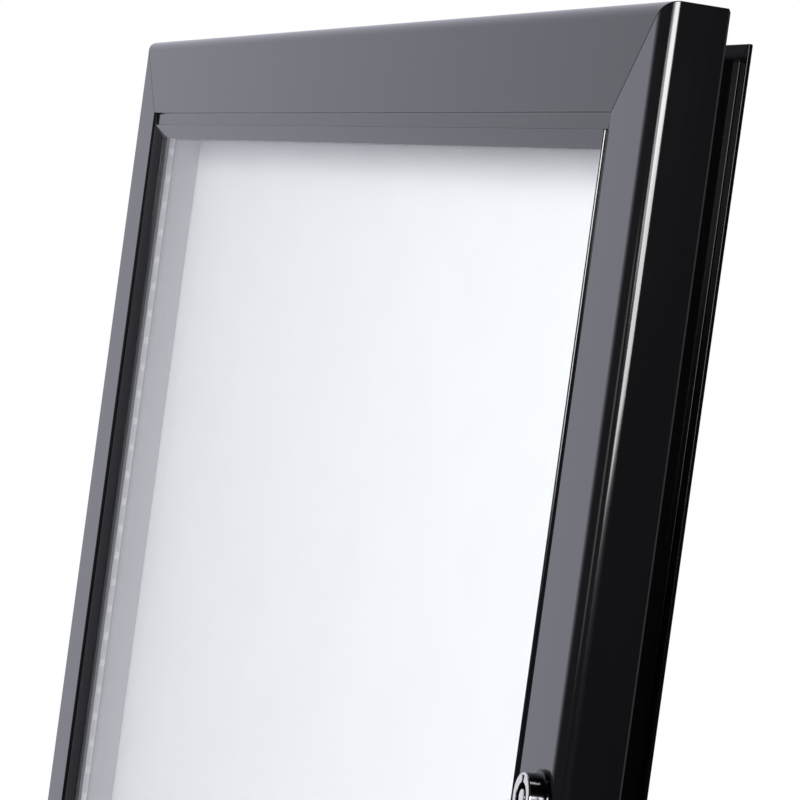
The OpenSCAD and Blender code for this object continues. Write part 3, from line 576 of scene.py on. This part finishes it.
# The flared neck and the collar: radius, and y from the door's face
COLLAR = ((0.0102, -0.0045), (0.01035, -0.0022), (0.0105, -0.002), (0.0115, -0.002), (0.0119, -0.0018),
          (0.0121, -0.0013), (0.0121, -0.0006), (0.0119, 0.0))


def turned(name, outline, key, body, replaced, place, notch=None):
    """A round piece about the y axis from an outline in (radius, y); notch is its outline about the top."""
    turns = [360 * k / LOCK_STEPS for k in range(LOCK_STEPS)]
    if notch:
        turns = [turn for turn in turns if NOTCH_TURN + NOTCH_CLEAR < turn < 360 - NOTCH_TURN - NOTCH_CLEAR]
        floor_turn = NOTCH_TURN - NOTCH_WALL_TURN
        turns += [360 - NOTCH_TURN, 360 - floor_turn, 360, 360 + floor_turn, 360 + NOTCH_TURN]
    points, faces = [], []
    count = len(outline)
    for turn in turns:
        inside = notch and abs(turn - 360) < NOTCH_TURN - NOTCH_WALL_TURN / 2
        a = math.radians(turn)
        points += [(r * math.sin(a), y, r * math.cos(a)) for r, y in (notch if inside else outline)]
    for k in range(len(turns)):
        here, there = k * count, (k + 1) % len(turns) * count
        for i in range(count):
            j = (i + 1) % count
            faces.append((here + i, here + j, there + j, there + i))
    return add_piece(name, points, faces, key, body, replaced, place)


def make_barrel(place):
    front, floor = -LOCK_PROUD, KEY_GROOVE_D - LOCK_PROUD
    bore, rim = KEY_GROOVE_R, KEY_GROOVE_R + KEY_RIM
    back = [(radius, front + depth) for radius, depth in FACE_BEVEL]
    back += [*COLLAR, (BARREL_R, 0.0), (BARREL_R, PLUG_END), (bore, PLUG_END), (bore, floor)]
    ring = [(bore, front + 2 * KEY_RIM), (rim, front + KEY_RIM / 3), (rim + KEY_RIM, front),
            (KEY_NOTCH_R, front)]
    step = floor - NOTCH_STEP
    cut = [(bore, step + KEY_RIM / 3), (rim, step), (rim + KEY_RIM, step), (KEY_NOTCH_R, step)]
    barrel = turned("lock_barrel", ring + back, "chrome", "door", ["lock_housing"], place, notch=cut + back)


def make_key_post(place):
    """The front of the plug: the post in the key's groove and the plug behind it."""
    front, floor = -LOCK_PROUD, KEY_GROOVE_D - LOCK_PROUD
    plug_r = KEY_GROOVE_R - PLUG_PLAY
    post = [(0.0, front)] + [(KEY_POST_R - inside, front + depth) for inside, depth in POST_CROWN]
    post += [(KEY_POST_R, floor), (plug_r, floor), (plug_r, PLUG_END), (0.0, PLUG_END)]
    plug = turned("lock_key_post", post, "chrome", "lock_cylinder", ["lock_plug"], place)


def make_shank(place):
    """The plug's flatted end, which carries the cam and its nut."""
    half = math.degrees(math.asin(SHANK_FLATS / 2 / SHANK_R))
    ring = []
    for middle in (0, 180):
        ring += arc(0, 0, SHANK_R, SHANK_R, middle - half, middle + half, SHANK_STEPS)
    count = len(ring)
    points = []
    for y, size in ((PLUG_END, 1), (SHANK_END - SHANK_CHAMFER, 1), (SHANK_END, SHANK_TIP)):
        points += [(x * size, y, z * size) for x, z in ring]
    faces = band(0, count) + band(count, count)
    faces += [tuple(range(count)), tuple(range(2 * count, 3 * count))]
    add_piece("lock_shank", points, faces, "zinc", "lock_cylinder", place=place)


def make_lock():
    place = IN_CASE @ Matrix.Translation((CASE_W / 2 - LOCK_INSET, 0, LOCK_RISE))
    make_barrel(place)
    make_key_post(place)
    make_shank(place)


# ---- Stage ----

CAMERA_PLACE = Vector((1.9136, -0.5334, 1.4702))
CAMERA_TURN = math.radians(73.694)
CAMERA_PITCH = math.radians(-4.140)
CAMERA_ROLL = math.radians(0.15)
CAMERA_LENS = 175.2
CAMERA_CLIP = (0.05, 200)
RIGHT_EDGE = (CASE_W / 2, 0, 1.45)
# Name, place, aim, width, height, radiance, and whether it only mirrors
LIGHTS = (
    ("side_softbox", (2.76, -0.08, 1.52), RIGHT_EDGE, 0.98, 0.5, 11.5, True),
    ("room_strip", (2.2, -1.8, 1.5), RIGHT_EDGE, 0.45, 0.42, 0.9, True),
    ("side_softbox_top", (2.739, -0.259, 1.68), RIGHT_EDGE, 1.72, 0.26, 5, True),
    ("ceiling_softbox", (0.51, 0.9, 2.96), (0.45, 0, 1.2), 1.0, 1.0, 8, True),
    ("front_softbox", (1.1, -1.9, 2.3), (0, 0, 1.2), 1.6, 1.5, 8.8, False),
)
ROOM_LEVEL = 0.45
MIRROR_OFFSET = 0.3
MIRROR_SLOPE = 1.29
MIRROR_LEVELS = (0.012, 0.72)
FLOOR_HALF = 30.0
FADE_START = 1.6
FADE_WIDTH = 2.5


def make_camera():
    data = bpy.data.cameras.new("photo_camera")
    data.lens = CAMERA_LENS
    data.clip_start, data.clip_end = CAMERA_CLIP
    camera = bpy.data.objects.new("photo_camera", data)
    camera.matrix_world = (
        Matrix.Translation(CAMERA_PLACE) @ Matrix.Rotation(CAMERA_TURN, 4, "Z")
        @ Matrix.Rotation(math.pi / 2 + CAMERA_PITCH, 4, "X") @ Matrix.Rotation(CAMERA_ROLL, 4, "Z"))
    bpy.context.scene.collection.objects.link(camera)
    bpy.context.scene.camera = camera


def soft_light(name, place, aim, width, height, radiance, gloss_only):
    """A softbox, which either only mirrors in the object or only lights it."""
    data = bpy.data.lights.new(name, "AREA")
    data.shape = "RECTANGLE"
    data.size, data.size_y = width, height
    data.energy = radiance * math.pi * width * height
    light = bpy.data.objects.new(name, data)
    light.location = place
    light.rotation_mode = "QUATERNION"
    light.rotation_quaternion = (Vector(aim) - Vector(place)).to_track_quat("-Z", "Y")
    light.visible_camera = False
    light.visible_diffuse = not gloss_only
    light.visible_glossy = gloss_only
    bpy.context.scene.collection.objects.link(light)


def make_world():
    """White to the camera, grey to matt surfaces, and to mirroring ones bright on the left only."""
    finish = Finish(bpy.data.worlds.new("white_studio"))
    bpy.context.scene.world = finish.owner
    across = finish.part_of(finish.place(output="Generated"), "X")
    camera_ray, through_ray, gloss_ray = (
        finish.node("ShaderNodeLightPath", {}, {}, way)
        for way in ("Is Camera Ray", "Is Transmission Ray", "Is Glossy Ray"))
    mirrored = (-MIRROR_OFFSET - MIRROR_SLOPE * across).clamped(*MIRROR_LEVELS)
    white = (camera_ray + through_ray).clamped()
    level = white + gloss_ray * mirrored + (1 - (white + gloss_ray).clamped()) * ROOM_LEVEL
    cool = finish.blend(gloss_ray, (0.985, 0.985, 1.03, 1), (0.95, 0.955, 1.1, 1))
    tint = finish.blend(white, cool, (1, 1, 1, 1))
    finish.surface(finish.node("ShaderNodeBackground", {}, {"Color": tint, "Strength": level}))


def make_floor():
    """A pale floor that fades into the white about it."""
    mesh = bpy.data.meshes.new("floor")
    corners = [(x * FLOOR_HALF, y * FLOOR_HALF, 0) for x, y in ((-1, -1), (1, -1), (1, 1), (-1, 1))]
    mesh.from_pydata(corners, [], [(0, 1, 2, 3)])
    floor = bpy.data.objects.new("floor", mesh)
    bpy.context.scene.collection.objects.link(floor)
    finish = Finish(bpy.data.materials.new("pale_floor"))
    tint = finish.blend(finish.noise(scale=2.5, detail=4), grey(0.8), grey(0.84))
    mat = finish.principled({"Base Color": tint, "Roughness": 0.7})
    far = (finish.length(finish.place()) - FADE_START).ramp(FADE_WIDTH)
    air = finish.node("ShaderNodeBsdfTransparent", {}, {})
    mesh.materials.append(finish.surface(finish.node("ShaderNodeMixShader", {}, {0: far, 1: mat, 2: air})))


carry_over()
make_frames()
make_lamps()
make_lock()
make_camera()
for light in LIGHTS:
    soft_light(*light)
make_world()
make_floor()

bpy.context.scene.view_settings.view_transform = "Standard"
